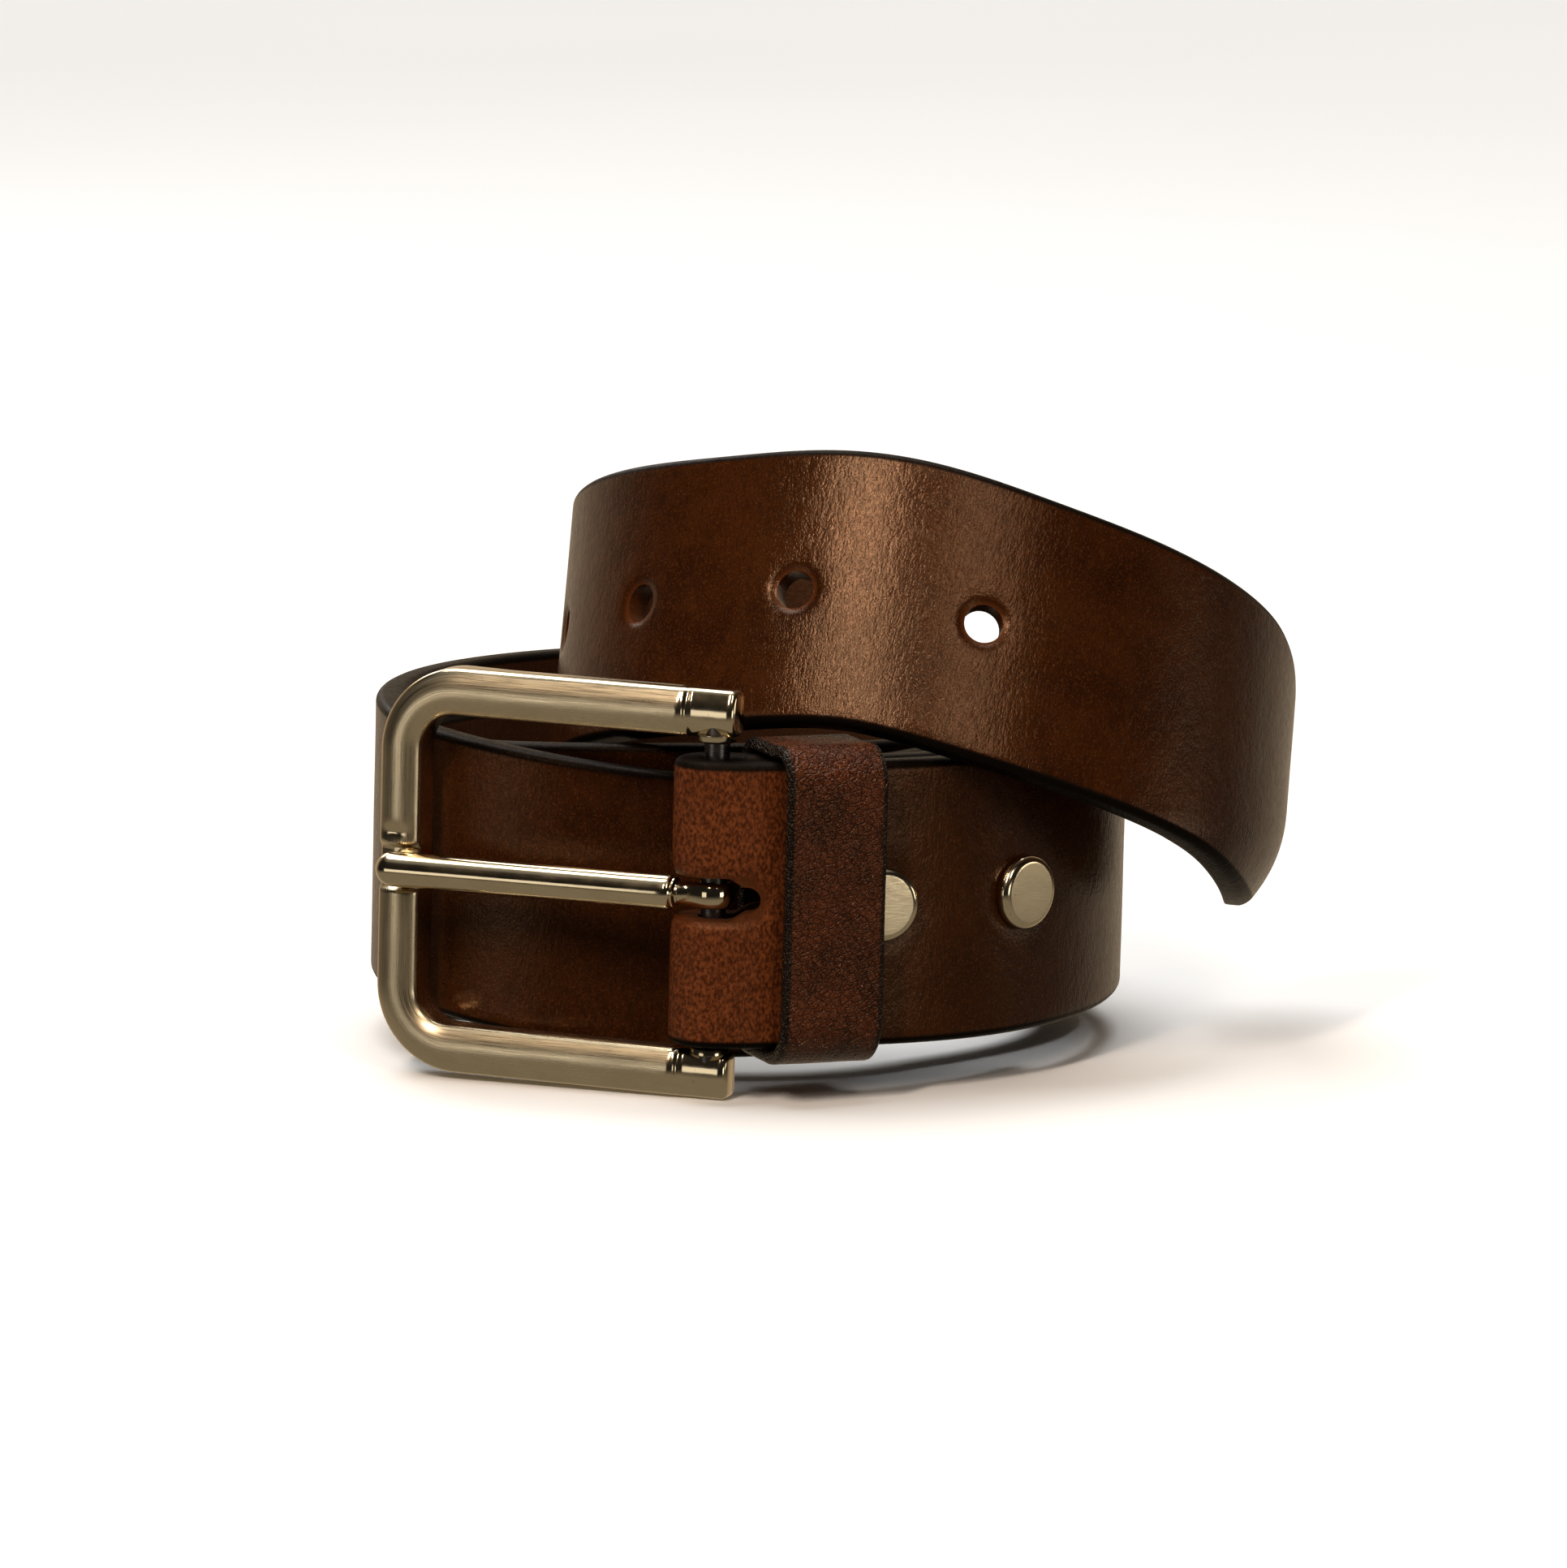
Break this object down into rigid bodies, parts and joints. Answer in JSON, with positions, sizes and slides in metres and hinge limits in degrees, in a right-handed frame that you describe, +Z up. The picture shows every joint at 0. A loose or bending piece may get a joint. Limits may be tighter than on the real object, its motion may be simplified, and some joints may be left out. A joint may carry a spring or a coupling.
{
  "type": "leather belt",
  "caption": "Leather dress belt rolled up on its edge, with an open frame buckle, round prong, keeper loop and screw studs.",
  "frame": {"origin": "middle of the belt's outline on the surface it stands on", "axes": "+Z up, -Y to the front where the buckle and the studs are, +X to the right as seen from the front"},
  "size_m": [0.1264, 0.109, 0.0834],
  "materials": {
    "strap_leather": "oiled full-grain leather with dark burnished edges",
    "keeper_leather": "semi-gloss leather",
    "buckle_metal": "light brass plate, brushed front and polished edges",
    "polished_metal": "polished light brass plate",
    "stud_metal": "satin light brass plate",
    "staple_steel": "bright wire"
  },
  "bodies": {
    "strap": {"strap": "strap_leather", "stud_post_1": "stud_metal", "stud_post_2": "stud_metal", "stud_screw_1": "stud_metal", "stud_screw_2": "stud_metal"},
    "buckle": {"buckle_frame": "buckle_metal", "buckle_bar": "polished_metal"},
    "prong": {"prong": "polished_metal"},
    "keeper": {"keeper_loop": "keeper_leather", "keeper_staples": "staple_steel"}
  },
  "joints": [
    {"name": "buckle_swing", "type": "hinge", "parent": "strap", "child": "buckle", "pos_m": [-0.01602, -0.04523, 0.02737], "axis": [0.026, 0.01, 0.9996], "range_deg": [0, 60]},
    {"name": "prong_swing", "type": "hinge", "parent": "buckle", "child": "prong", "pos_m": [-0.01602, -0.04523, 0.02737], "axis": [0.026, 0.01, 0.9996], "range_deg": [0, 60]},
    {"name": "keeper_slide", "type": "hinge", "parent": "strap", "child": "keeper", "pos_m": [-0.01156, 0.00315, 0.02677], "axis": [0.026, 0.01, 0.9996], "range_deg": [-1.2, 0.6]}
  ]
}
